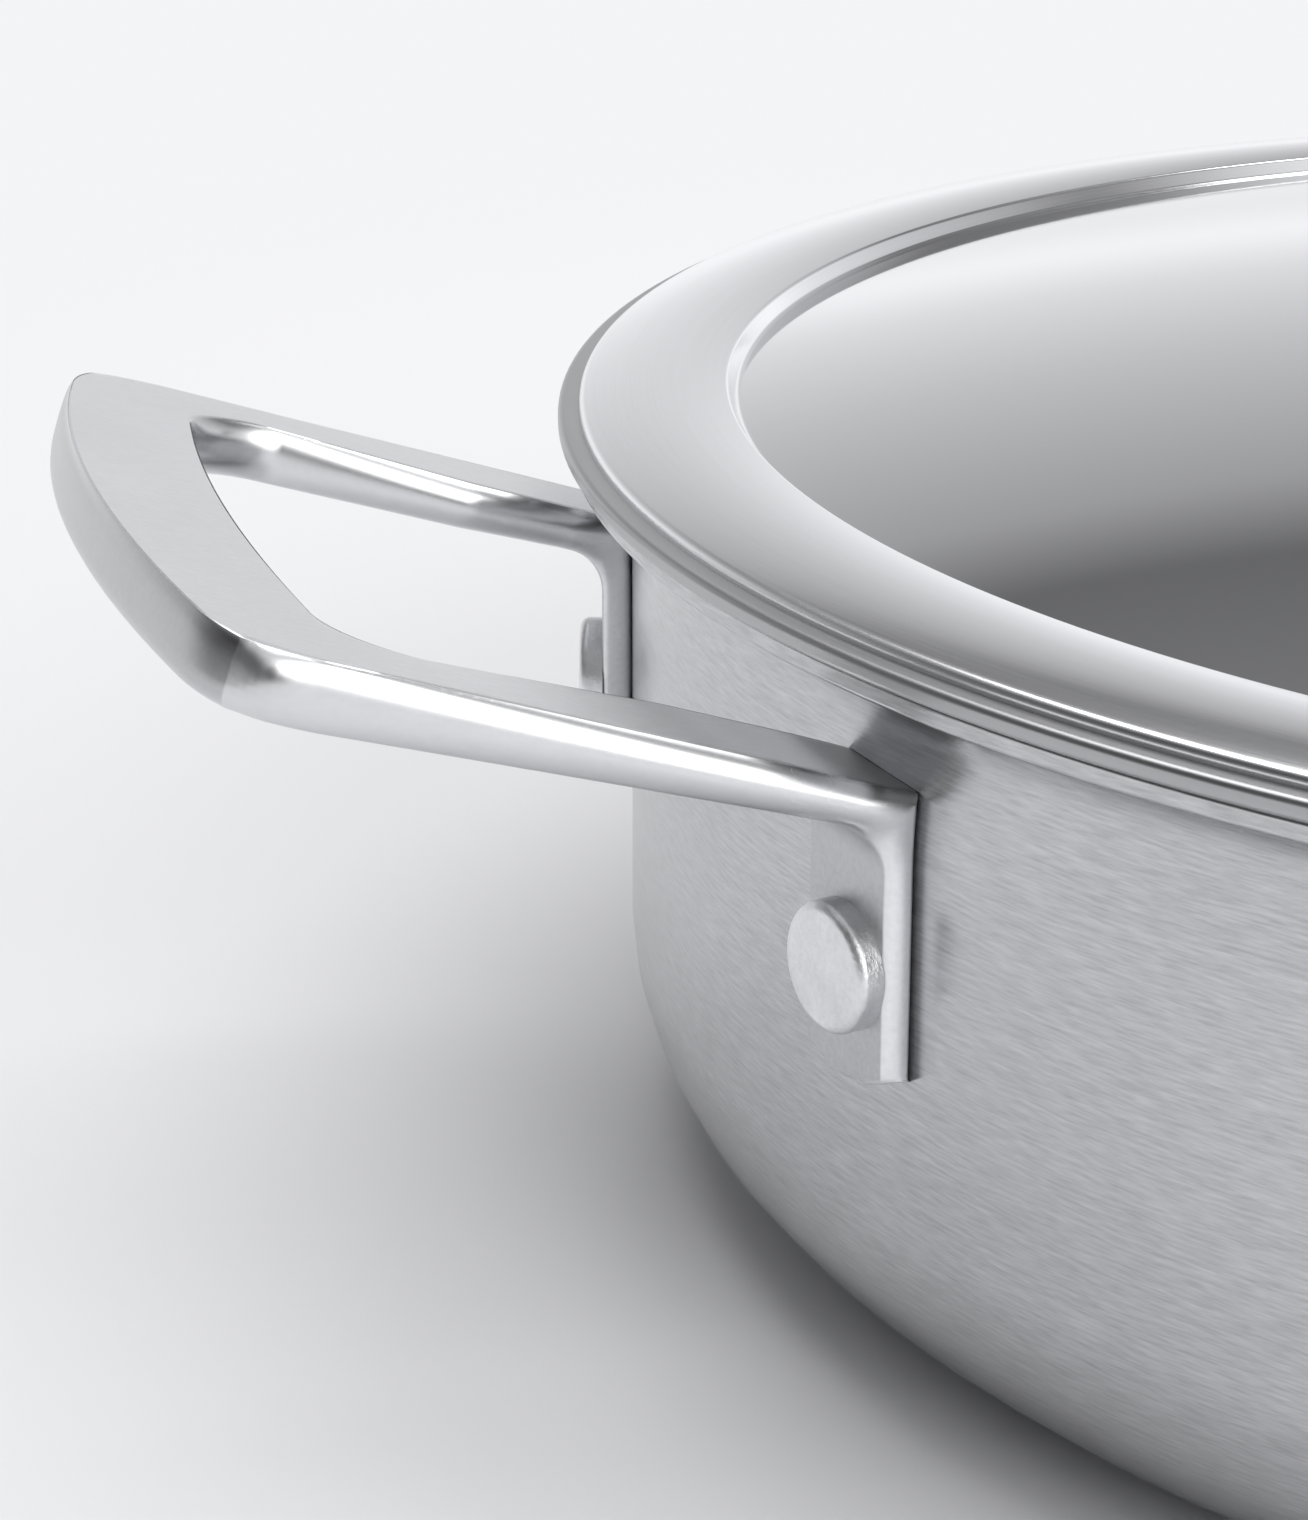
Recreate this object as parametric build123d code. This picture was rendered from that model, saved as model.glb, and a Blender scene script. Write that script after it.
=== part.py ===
from build123d import *
from math import asin, atan, atan2, cos, degrees, hypot, pi, radians, sin, sqrt, tan
import os

# Lidded stainless steel braiser: clad pan, two riveted loop handles and a lift-off lid.
# Millimetres, +Z up. The origin is the centre of the pan's base on the hob, and the two
# side handles stand out along -X and +X. The lid is drawn seated on the pan.

# Pan, pressed from one clad sheet
wall_radius = 150.3
pan_sheet = 2.2
lip_underside = 78.0
base_corner_radius = 24.0
flare_radius = 6.0
lip_flat = 0.7
lip_edge_radius = 0.6

# Side handles, cast loops that climb outwards from the wall
handle_rise_deg = 17.9
handle_root_drop = 7.4
root_thickness = 4.6
grip_thickness = 7.0
loop_half_width = 49.4
loop_reach = 59.3
grip_bow = 6.4
grip_width = 13.7
arm_width = 7.4
opening_bow = 1.2
opening_corner_radius = 8.5
under_edge_radius = 2.0
inner_edge_radius = 1.6
arm_top_edge_radius = 1.0
ridge_radius = 0.35

# Handle feet, riveted flat against the wall
foot_width = 12.0
foot_thickness = 3.2
foot_below_rivet = 11.6
foot_end_radius = 11.0
foot_bend_radius = 5.2
foot_overlap = 1.5
handle_seat_gap = 0.05

# Rivets
rivet_depth = 28.0
shank_radius = 3.2
shank_clearance = 0.05
head_radius = 6.3
head_height = 2.8
head_rim_radius = 1.0
inside_head_radius = 5.8
inside_head_height = 2.0
inside_head_rim_radius = 1.2

# Lid: a pressed cover on a ring that sits on the lip and drops inside the wall
lid_seat_gap = 0.1
lid_overhang = 1.3
ring_thickness = 2.0
ring_edge_radius = 0.7
skirt_clearance = 0.8
skirt_thickness = 1.2
skirt_depth = 9.0
cover_sheet = 1.1
ring_ledge = 2.1
cover_edge_radius = 0.9
band_width = 16.1
band_rise = 0.5
band_bow_height = 0.75
step_drop = 1.9
step_run = 1.1
step_edge_radius = 0.5
dome_height = 14.0

# Lid handle, a cast bridge with a riveted foot at each end
lid_grip_height = 40.0
lid_grip_thickness = 6.4
lid_leg_thickness = 5.0
lid_handle_width = 13.4
lid_leg_half_span = 41.0
lid_leg_lean = 3.0
lid_foot_reach = 19.0
lid_foot_thickness = 3.2
lid_outer_bend_radius = 10.0
lid_inner_bend_radius = 6.0
lid_foot_bend_radius = 2.6
lid_handle_edge_radius = 1.2

# Overrun of cutting shapes past what they cut
overrun = 12.0

lip_top = lip_underside + pan_sheet
lip_radius = wall_radius + flare_radius + lip_flat
inside_radius = wall_radius - pan_sheet
flare_start = lip_underside - flare_radius
ring_underside = lip_top + lid_seat_gap
ring_top = ring_underside + ring_thickness
ring_radius = lip_radius + lid_overhang
cover_radius = ring_radius - ring_ledge
band_crest_radius = cover_radius - band_width
cover_edge_top = ring_top + cover_sheet
band_crest_top = cover_edge_top + band_rise
dome_radius_at_step = band_crest_radius - step_run
dome_edge_top = band_crest_top - step_drop
dome_top = dome_edge_top + dome_height
dome_sphere_radius = (dome_radius_at_step**2 + dome_height**2) / (2 * dome_height)
opening_reach = loop_reach - grip_width
opening_half_width = loop_half_width - arm_width
opening_root_half_width = loop_half_width - foot_width
foot_face_radius = wall_radius + foot_thickness
foot_middle = loop_half_width - foot_width / 2
foot_angle = asin(foot_middle / foot_face_radius)
rivet_height = lip_underside - rivet_depth
lid_rivet_offset = lid_leg_half_span + lid_foot_reach / 2
lid_foot_tilt = asin(lid_rivet_offset / dome_sphere_radius)


def turned(profile):
    """Turn a profile, drawn as radius against height, about the vertical axis."""
    return revolve(Plane.XZ * profile, Axis.Z)


def on_sphere(radius):
    """Height of the dome's outer face at a distance from the axis."""
    return dome_top - dome_sphere_radius + sqrt(dome_sphere_radius**2 - radius**2)


def make_pan_body():
    """Bowl of even sheet: flat base, round corner, upright wall and a flared flat lip."""
    floor_radius = wall_radius - base_corner_radius
    flare_centre = (wall_radius + flare_radius, flare_start)
    outline = Polyline(
        (wall_radius - pan_sheet, base_corner_radius),
        (wall_radius - pan_sheet, flare_start),
    ) + [
        CenterArc(flare_centre, flare_radius + pan_sheet, 90, 90),
        Polyline(
            (flare_centre[0], lip_top),
            (lip_radius, lip_top),
            (lip_radius, lip_underside),
            (flare_centre[0], lip_underside),
        ),
        CenterArc(flare_centre, flare_radius, 90, 90),
        Line((wall_radius, flare_start), (wall_radius, base_corner_radius)),
        CenterArc((floor_radius, base_corner_radius), base_corner_radius, 270, 90),
        Polyline((floor_radius, 0), (0, 0), (0, pan_sheet), (floor_radius, pan_sheet)),
        CenterArc((floor_radius, base_corner_radius), base_corner_radius - pan_sheet, 270, 90),
    ]
    profile = make_face(outline.edges())
    lip_corners = profile.vertices().group_by(Axis.X)[-1]
    profile = fillet(lip_corners, lip_edge_radius)
    return turned(profile)


def foot_plane(side):
    """Plane through the rivet's height whose normal is the foot's own radius."""
    angle = side * foot_angle
    return Plane(
        origin=(0, 0, rivet_height),
        x_dir=(-sin(angle), cos(angle), 0),
        z_dir=(cos(angle), sin(angle), 0),
    )


def slope_plane(rise_deg, drop):
    """Plane that leaves the wall at a depth under the lip and climbs outwards."""
    rise = radians(rise_deg)
    return Plane(
        origin=(wall_radius, 0, lip_underside - drop),
        x_dir=(cos(rise), 0, sin(rise)),
        z_dir=(-sin(rise), 0, cos(rise)),
    )


top_plane = slope_plane(handle_rise_deg, handle_root_drop)


def underside_rise_deg():
    """Climb of the loop's underside, which leaves the top as the grip gets thicker."""
    return handle_rise_deg - degrees(atan2(grip_thickness - root_thickness, loop_reach))


def underside_plane():
    """Plane of the loop's underside."""
    return slope_plane(
        underside_rise_deg(), handle_root_drop + root_thickness / cos(radians(handle_rise_deg))
    )


def loop_blank():
    """Flat-topped bar that thickens outwards, cut to the loop's bowed end."""
    under = underside_plane()
    reach = loop_reach / cos(radians(handle_rise_deg))
    bar_height = grip_thickness + overrun
    below = under * Rectangle(2 * wall_radius, 2 * wall_radius)
    grip_corner = reach - grip_bow
    plan = make_face(
        [
            Polyline(
                (grip_corner, -loop_half_width),
                (-wall_radius / 2, -loop_half_width),
                (-wall_radius / 2, loop_half_width),
                (grip_corner, loop_half_width),
            ),
            ThreePointArc(
                (grip_corner, -loop_half_width), (reach, 0), (grip_corner, loop_half_width)
            ),
        ]
    )
    return extrude(top_plane * plan, -bar_height) - extrude(below, -2 * bar_height)


def finger_opening():
    """Hole of the loop, a little narrower at the wall, with round corners at the grip."""
    reach = opening_reach / cos(radians(handle_rise_deg))
    corner = reach - opening_bow
    straight = foot_thickness + 2 * foot_bend_radius
    plan = make_face(
        [
            Polyline(
                (corner, -opening_half_width),
                (straight, -opening_root_half_width),
                (-wall_radius / 2, -opening_root_half_width),
                (-wall_radius / 2, opening_root_half_width),
                (straight, opening_root_half_width),
                (corner, opening_half_width),
            ),
            ThreePointArc((corner, -opening_half_width), (reach, 0), (corner, opening_half_width)),
        ]
    )
    grip_corners = plan.vertices().group_by(Axis.X)[-1]
    plan = fillet(grip_corners, opening_corner_radius)
    depth = grip_thickness + overrun
    return extrude(top_plane * plan, depth) + extrude(top_plane * plan, -depth)


def handle_foot(side):
    """Flat pad on the wall with a shallow round lower end, and the bend up to the arm."""
    frame = foot_plane(side)
    outline = make_face(
        [
            Polyline(
                (-foot_end_radius, foot_end_radius - foot_below_rivet),
                (-foot_end_radius, rivet_depth),
                (foot_end_radius, rivet_depth),
                (foot_end_radius, foot_end_radius - foot_below_rivet),
            ),
            CenterArc((0, foot_end_radius - foot_below_rivet), foot_end_radius, 180, 180),
        ]
    )
    depth = foot_thickness + pan_sheet
    pad = extrude(frame * Pos(0, 0, foot_face_radius - depth) * outline, depth)
    rise = radians(underside_rise_deg())
    along = cos(foot_angle)
    slope = atan(along * tan(rise))
    centre_out = foot_face_radius + foot_bend_radius
    root_height = underside_plane().origin.Z
    under_height = root_height + (centre_out * along - wall_radius) * tan(rise)
    centre_height = under_height - foot_bend_radius / cos(slope)
    arm_out = centre_out - foot_bend_radius * sin(slope)
    arm_height = centre_height + foot_bend_radius * cos(slope)
    half_turn = (pi / 2 + slope) / 2 + pi / 2
    bend = make_face(
        [
            Polyline(
                (foot_face_radius, centre_height),
                (foot_face_radius - foot_overlap, centre_height),
                (foot_face_radius - foot_overlap, arm_height + foot_overlap),
                (arm_out, arm_height + foot_overlap),
                (arm_out, arm_height),
            ),
            ThreePointArc(
                (arm_out, arm_height),
                (
                    centre_out + foot_bend_radius * cos(half_turn),
                    centre_height + foot_bend_radius * sin(half_turn),
                ),
                (foot_face_radius, centre_height),
            ),
        ]
    )
    upright = Plane(origin=(0, 0, 0), x_dir=frame.z_dir, z_dir=-frame.x_dir)
    across = frame.x_dir + Vector(0, 0, frame.x_dir.X * tan(rise))
    web = extrude(upright * bend, foot_end_radius, dir=across, both=True)
    slab_place = Pos(wall_radius, side * foot_middle, 0)
    slab = slab_place * Box(wall_radius, foot_width, 4 * lip_underside)
    return (pad + web) & slab


def make_handle():
    """Loop and its two feet in one casting, bored for the rivets, on the +X side."""
    above = extrude(
        top_plane * Rectangle(2 * wall_radius, 2 * wall_radius), grip_thickness + lip_underside
    )
    handle = loop_blank() - finger_opening()
    for side in (-1, 1):
        handle += handle_foot(side) - above
    handle -= Cylinder(wall_radius + handle_seat_gap, 4 * lip_underside)
    handle = handle.solids().sort_by(SortBy.VOLUME)[-1]
    handle = soften(handle)
    bore = shank_radius + shank_clearance
    for side in (-1, 1):
        hole = Cylinder(bore, 2 * wall_radius, align=(Align.CENTER, Align.CENTER, Align.MIN))
        handle -= foot_plane(side) * hole
    return handle


def spread(edge):
    """Both ends and the middle of an edge."""
    return (edge @ 0, edge @ 0.5, edge @ 1)


def soften(handle):
    """Round the casting: full underside edges, round arms, and a crisp ridge on the grip."""
    close = handle_seat_gap
    near_wall = wall_radius + 2 * close
    beyond_opening = wall_radius + opening_reach + grip_thickness
    under = underside_plane()

    def off_wall(edge):
        return any(hypot(point.X, point.Y) > near_wall for point in spread(edge))

    def on_plane(edge, plane):
        return all(abs(plane.to_local_coords(point).Z) < close for point in spread(edge))

    def on_side(edge, half_width):
        return all(abs(abs(point.Y) - half_width) < close for point in spread(edge))

    def across_bar(edge):
        return abs(edge.tangent_at(0.5).dot(top_plane.z_dir)) > cos(radians(handle_rise_deg))

    def along_outline(edge):
        on_arm = edge.center().X < lip_radius or not across_bar(edge)
        on_grip = on_plane(edge, under) and edge.center().X > beyond_opening
        return on_side(edge, loop_half_width) and on_arm or on_grip

    def along_opening(edge):
        on_foot = on_side(edge, opening_root_half_width) and not across_bar(edge)
        within = abs(edge.center().Y) < opening_half_width
        on_under = on_plane(edge, under) and ring_radius < edge.center().X < beyond_opening
        return on_foot or on_under and within

    free = [edge for edge in handle.edges() if off_wall(edge) and not on_plane(edge, top_plane)]
    handle = fillet([edge for edge in free if along_outline(edge)], under_edge_radius)
    free = [edge for edge in handle.edges() if off_wall(edge) and not on_plane(edge, top_plane)]
    handle = fillet([edge for edge in free if along_opening(edge)], inner_edge_radius)
    top = [edge for edge in handle.edges() if on_plane(edge, top_plane) and off_wall(edge)]
    arms = [edge for edge in top if on_side(edge, loop_half_width)]
    handle = fillet(arms, arm_top_edge_radius)
    top = [edge for edge in handle.edges() if on_plane(edge, top_plane) and off_wall(edge)]
    ridge = [
        edge
        for edge in top
        if edge.center().X > beyond_opening or abs(edge.center().Y) < opening_half_width + close
    ]
    return fillet(ridge, ridge_radius)


def rivet(grip, clearance_inside):
    """Rivet along +Z: flat head with a round rim on z = 0, shank, and an inside head."""
    inner_seat = -grip - clearance_inside
    profile = make_face(
        [
            Polyline(
                (0, head_height),
                (head_radius, head_height),
                (head_radius, 0),
                (shank_radius, 0),
                (shank_radius, inner_seat),
                (inside_head_radius, inner_seat),
                (inside_head_radius, inner_seat - inside_head_height),
                (0, inner_seat - inside_head_height),
                (0, head_height),
            )
        ]
    )
    face_rim = profile.vertices().sort_by_distance((head_radius, head_height))[:1]
    profile = fillet(face_rim, head_rim_radius)
    lowest = inner_seat - inside_head_height
    inner_rim = profile.vertices().sort_by_distance((inside_head_radius, lowest))[:1]
    profile = fillet(inner_rim, inside_head_rim_radius)
    return turned(profile)


def side_rivets():
    """The four wall rivets, named by the handle they hold and the end they stand at."""
    sagitta = inside_radius - sqrt(inside_radius**2 - inside_head_radius**2)
    grip = foot_thickness + pan_sheet
    one = rivet(grip, sagitta)
    placed = {}
    for handle_name, turn in (("right", 0), ("left", 180)):
        for side in (-1, 1):
            seated = Rot(0, 0, turn) * (foot_plane(side) * Pos(0, 0, foot_face_radius) * one)
            end_name = "front" if seated.center().Y < 0 else "rear"
            placed[f"{handle_name}_{end_name}_rivet"] = seated
    return placed


def bore_wall(body):
    """Drill the four rivet holes through the pan's wall."""
    bore = shank_radius + shank_clearance
    for turn in (0, 180):
        for side in (-1, 1):
            hole = Cylinder(bore, 2 * wall_radius, align=(Align.CENTER, Align.CENTER, Align.MIN))
            body -= Rot(0, 0, turn) * (foot_plane(side) * hole)
    return body


def make_lid_ring():
    """Ring whose flange lies on the lip and whose skirt centres the lid in the wall."""
    skirt_outer = inside_radius - skirt_clearance
    skirt_inner = skirt_outer - skirt_thickness
    profile = make_face(
        [
            Polyline(
                (skirt_inner, ring_top),
                (ring_radius, ring_top),
                (ring_radius, ring_underside),
                (skirt_outer, ring_underside),
                (skirt_outer, ring_top - skirt_depth),
                (skirt_inner, ring_top - skirt_depth),
                (skirt_inner, ring_top),
            )
        ]
    )
    profile = fillet(profile.vertices().group_by(Axis.X)[-1], ring_edge_radius)
    return turned(profile)


def make_lid_cover():
    """Pressed cover: shallow dome, a step up to the crest, and a broad bowed outer band."""
    band_middle = (cover_radius + band_crest_radius) / 2
    band_middle_top = (cover_edge_top + band_crest_top) / 2 + band_bow_height
    dome_middle = dome_radius_at_step / 2
    dome_edge = (dome_radius_at_step, dome_edge_top)
    crest = (band_crest_radius, band_crest_top)
    top_line = Wire(
        [
            ThreePointArc((0, dome_top), (dome_middle, on_sphere(dome_middle)), dome_edge),
            Line(dome_edge, crest),
            ThreePointArc(crest, (band_middle, band_middle_top), (cover_radius, cover_edge_top)),
        ]
    )
    sheet = make_face(offset(top_line, cover_sheet, kind=Kind.INTERSECTION, side=Side.RIGHT))
    corners = sheet.vertices()
    outer_top = corners.sort_by_distance((cover_radius, cover_edge_top))[:1]
    sheet = fillet(outer_top, cover_edge_radius)
    for bend in (crest, dome_edge):
        corner = sheet.vertices().sort_by_distance(bend)[:1]
        sheet = fillet(corner, step_edge_radius)
    return turned(sheet)


def lid_rivet_plane(side):
    """Plane on top of a lid handle's foot, square to the dome under the rivet."""
    out = lid_foot_thickness + handle_seat_gap
    normal = Vector(side * sin(lid_foot_tilt), 0, cos(lid_foot_tilt))
    on_dome = Vector(side * lid_rivet_offset, 0, on_sphere(lid_rivet_offset))
    return Plane(origin=on_dome + normal * out, x_dir=(0, 1, 0), z_dir=normal)


def make_lid_handle():
    """Bridge cast in one: flat feet that follow the dome, leaning legs and a level grip."""
    seat = lid_rivet_plane(1).origin
    foot_end = lid_leg_half_span + lid_foot_reach
    grip_top = dome_top + lid_grip_height
    grip_half = lid_leg_half_span - lid_leg_lean
    base = dome_edge_top

    def foot_top(x):
        return seat.Z - (x - seat.X) * tan(lid_foot_tilt)

    half = [
        (foot_end, base),
        (foot_end, foot_top(foot_end)),
        (lid_leg_half_span, foot_top(lid_leg_half_span)),
        (grip_half, grip_top),
    ]
    inner = [
        (grip_half - lid_leg_thickness, grip_top - lid_grip_thickness),
        (lid_leg_half_span - lid_leg_thickness, base),
    ]
    mirrored = [(-x, z) for x, z in half[::-1]]
    inner_mirrored = [(-x, z) for x, z in inner[::-1]]
    outline = make_face(Polyline(*half, *mirrored, *inner_mirrored, *inner, half[0]))
    bends = {
        lid_foot_bend_radius: half[2],
        lid_outer_bend_radius: half[3],
        lid_inner_bend_radius: inner[0],
    }
    for radius, (x, z) in bends.items():
        for side in (-1, 1):
            corner = outline.vertices().sort_by_distance((side * x, z))[:1]
            outline = fillet(corner, radius)
    body = extrude(Plane.XZ * outline, lid_handle_width / 2, both=True)
    plan = SlotOverall(2 * foot_end, lid_handle_width)
    body = body & extrude(Plane.XY.offset(base) * plan, grip_top)
    dome = Pos(0, 0, dome_top - dome_sphere_radius) * Sphere(dome_sphere_radius + handle_seat_gap)
    body = body - dome
    flank = lid_handle_width / 2
    standing = [
        edge
        for edge in body.edges()
        if all(abs(abs(point.Y) - flank) < handle_seat_gap for point in spread(edge))
        and edge.center().Z > foot_top(lid_leg_half_span)
    ]
    body = fillet(standing, lid_handle_edge_radius)
    bore = Cylinder(shank_radius + shank_clearance, overrun * 2)
    for side in (-1, 1):
        body -= lid_rivet_plane(side) * bore
    return body


def lid_rivets():
    """The two rivets of the lid handle."""
    under_radius = dome_sphere_radius - cover_sheet
    sagitta = under_radius - sqrt(under_radius**2 - inside_head_radius**2)
    one = rivet(lid_foot_thickness + handle_seat_gap + cover_sheet, sagitta)
    return {
        "lid_right_rivet": lid_rivet_plane(1) * one,
        "lid_left_rivet": lid_rivet_plane(-1) * one,
    }


def bore_cover(cover):
    """Drill the cover for the lid handle's rivets."""
    bore = Cylinder(shank_radius + shank_clearance, overrun * 2)
    for side in (-1, 1):
        cover -= lid_rivet_plane(side) * bore
    return cover


os.makedirs("parts", exist_ok=True)
side_handle = make_handle()
pieces = {
    "pan_body": bore_wall(make_pan_body()),
    "right_handle": side_handle,
    "left_handle": Rot(0, 0, 180) * side_handle,
    "lid_cover": bore_cover(make_lid_cover()),
    "lid_ring": make_lid_ring(),
    "lid_handle": make_lid_handle(),
}
pieces.update(side_rivets())
pieces.update(lid_rivets())
for name, solid in pieces.items():
    export_step(solid, f"parts/{name}.step")
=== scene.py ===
from math import asin, atan2, cos, hypot, pi, radians, sin, sqrt, tan

import bmesh
import bpy
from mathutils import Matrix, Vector


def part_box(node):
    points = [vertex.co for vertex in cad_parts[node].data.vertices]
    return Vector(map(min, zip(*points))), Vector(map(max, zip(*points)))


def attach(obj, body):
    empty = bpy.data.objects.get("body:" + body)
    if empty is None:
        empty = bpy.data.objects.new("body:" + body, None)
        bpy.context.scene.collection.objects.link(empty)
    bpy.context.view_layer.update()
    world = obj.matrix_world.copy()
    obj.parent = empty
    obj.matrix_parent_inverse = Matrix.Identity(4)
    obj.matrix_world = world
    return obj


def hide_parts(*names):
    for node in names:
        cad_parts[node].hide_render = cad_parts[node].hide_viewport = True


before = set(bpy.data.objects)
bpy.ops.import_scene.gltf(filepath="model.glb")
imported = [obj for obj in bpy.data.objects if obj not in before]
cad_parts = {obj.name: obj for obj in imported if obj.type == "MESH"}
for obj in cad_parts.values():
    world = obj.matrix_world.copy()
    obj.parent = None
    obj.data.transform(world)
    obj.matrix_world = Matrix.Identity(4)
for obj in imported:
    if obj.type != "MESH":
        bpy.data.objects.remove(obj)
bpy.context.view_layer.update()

# Metres throughout; a size in millimetres is written as a number times MM
MM = 0.001

# Sizes read from the frame
lip_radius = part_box("pan_body")[1].y
lip_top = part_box("pan_body")[1].z
ring_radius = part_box("lid_ring")[1].y
ring_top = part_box("lid_ring")[1].z
cover_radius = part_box("lid_cover")[1].y
dome_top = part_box("lid_cover")[1].z

# Pan
pan_sheet = 2.2 * MM
flare_radius = 6.0 * MM
lip_flat = 0.7 * MM
lip_edge_bend = 0.6 * MM
base_corner_bend = 24.0 * MM
wall_radius = lip_radius - lip_flat - flare_radius
lip_underside = lip_top - pan_sheet

# Lid ring
ring_thickness = 2.0 * MM
ring_edge_bend = 0.7 * MM
skirt_clearance = 0.8 * MM
skirt_thickness = 1.2 * MM
skirt_depth = 9.0 * MM
skirt_edge_bend = 0.3 * MM

# Lid cover
cover_sheet = 1.1 * MM
cover_edge_bend = 0.9 * MM
crest_radius = cover_radius - 16.1 * MM
band_rise = 0.5 * MM
band_bulge = 0.75 * MM
step_drop = 1.9 * MM
step_run = 1.1 * MM
crest_bend = 0.6 * MM
dome_radius = crest_radius - step_run
crest_top = ring_top + cover_sheet + band_rise
dome_edge_top = crest_top - step_drop
dome_height = dome_top - dome_edge_top
dome_sphere_radius = (dome_radius**2 + dome_height**2) / (2 * dome_height)

# Rivets
head_radius = 6.3 * MM
head_height = 2.8 * MM
head_crown = 0.22 * MM
head_rim_bend = 1.0 * MM
shank_radius = 3.2 * MM
inside_head_radius = 5.8 * MM
inside_head_height = 2.0 * MM
inside_rim_bend = 1.2 * MM
foot_thickness = 3.2 * MM
rivet_height = lip_underside - 28.0 * MM
foot_middle = 43.4 * MM
foot_angle = asin(foot_middle / (wall_radius + foot_thickness))
lid_rivet_offset = 50.5 * MM
lid_foot_thickness = 3.25 * MM

# Side handles: a flat-topped loop that climbs from the wall and thickens outwards
loop_rise = radians(17.9)
loop_root_drop = 7.4 * MM
root_thickness = 4.6 * MM
grip_thickness = 7.0 * MM
loop_half_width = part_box("left_handle")[1].y
loop_reach = 59.3 * MM
grip_bow = 6.4 * MM
grip_width = 13.7 * MM
arm_width = 7.4 * MM
foot_width = 12.0 * MM
opening_bow = 3.3 * MM
opening_corner = 8.5 * MM
foot_bend = 5.2 * MM
foot_below_rivet = 11.6 * MM
foot_end_bend = 11.0 * MM
foot_lip_bend = 0.9 * MM
seat_gap = 0.05 * MM
thickening = atan2(grip_thickness - root_thickness, loop_reach)
under_rise = loop_rise - thickening
# How each side of the bar is rounded: depth at the top, share of the height it takes,
# the same at the bottom, and how far the side bows
ARM_SIDE = (1.5 * MM, 0.46, 2.4 * MM, 0.54, 0.0)
ARM_INSIDE = (1.6 * MM, 0.5, 2.0 * MM, 0.5, 0.0)
GRIP_SIDE = (0.4 * MM, 0.26, 2.1 * MM, 0.3, 0.22 * MM)
GRIP_INSIDE = (0.15 * MM, 0.2, 1.6 * MM, 0.35, 0.0)
FOOT_SIDE = (1.5 * MM, 0.62, 0.5 * MM, 0.25, 0.0)
FOOT_INSIDE = (1.0 * MM, 0.5, 0.5 * MM, 0.25, 0.0)
# How far the arms' sides swell past the outlines, outside and towards the opening
ARM_SWELL = (0.9 * MM, 1.3 * MM)
# The outer corner is ground back beside the grip's side
corner_grind, corner_run = 2.0 * MM, 9.0 * MM
ridge_chamfer = 0.22 * MM
# Share of a quarter circle that the roundings at the top and the bottom run through
TOP_CURVE, BOTTOM_CURVE = 0.93, 0.995
# Places of the points across the flat top and the underside of the bar
ACROSS_STEPS = (0.0, 0.06, 0.25, 0.5, 0.75, 0.94, 1.0)
steps_on_side = 16
steps_on_grip = 26
steps_on_corner = 9
steps_on_arm = 34
steps_on_bend = 16
steps_on_foot = 14
# The rings of the grip stand closer together towards its corner
grip_crowding = 1.5

# Turning
steps_round = 288
steps_round_rivet = 64
steps_in_bend = 8
steps_on_dome = 56
steps_on_band = 12
rail_radius = 1.0 * MM

# Meshes: edges sharper than these angles in degrees stay crisp
TURNED_SHARP, CAST_SHARP = 35, 30
same_point = 0.001 * MM

# Finishes: brush lines per metre across, and how far one wanders round the axis
PAN_BRUSH = (3200.0, 42.0)
BAND_BRUSH = (5200.0, 3.0)
RING_BRUSH = (5200.0, 4.0)
# Dark and bright level of each steel's colour
PAN_TONES = (0.38, 0.68)
BAND_TONES = (0.86, 1.0)
# The ring's steel is set darker as painted shade in the crease under the cover's edge
RING_SHADED_TONES = (0.4, 0.52)
CAST_TONES = (0.6, 0.86)
CAST_BLASTED_TONES = (0.78, 1.0)
# Darker steel painted on the castings' faces turned along x, as shade
CAST_SIDE_SHADE_TONES = (0.42, 0.66)
RIVET_TONES = (0.6, 1.0)
dome_tone = 0.79
# Painted shade on the lip's top beside the ring's edge
lip_shade_tone = 0.22
cast_grain = 1700.0
rivet_grain = 1600.0

# Places of the colour sockets of a Mix node
MIX_FIRST, MIX_SECOND, MIX_RESULT = 6, 7, 2


class Signal:
    """An output socket that takes part in sums; each sum adds a Math node."""

    def __init__(self, graph, socket):
        self.graph = graph
        self.socket = socket

    def math(self, operation, *terms):
        return self.graph.node("ShaderNodeMath", {"operation": operation}, dict(enumerate(terms)))

    def __add__(self, other):
        return self.math("ADD", self, other)

    def __sub__(self, other):
        return self.math("SUBTRACT", self, other)

    def __rsub__(self, other):
        return self.math("SUBTRACT", other, self)

    def __mul__(self, other):
        return self.math("MULTIPLY", self, other)

    def __truediv__(self, other):
        return self.math("DIVIDE", self, other)

    def __pow__(self, other):
        return self.math("POWER", self, other)

    __radd__ = __add__
    __rmul__ = __mul__

    def clamped(self):
        return self.graph.node("ShaderNodeClamp", None, {0: self})


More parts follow.
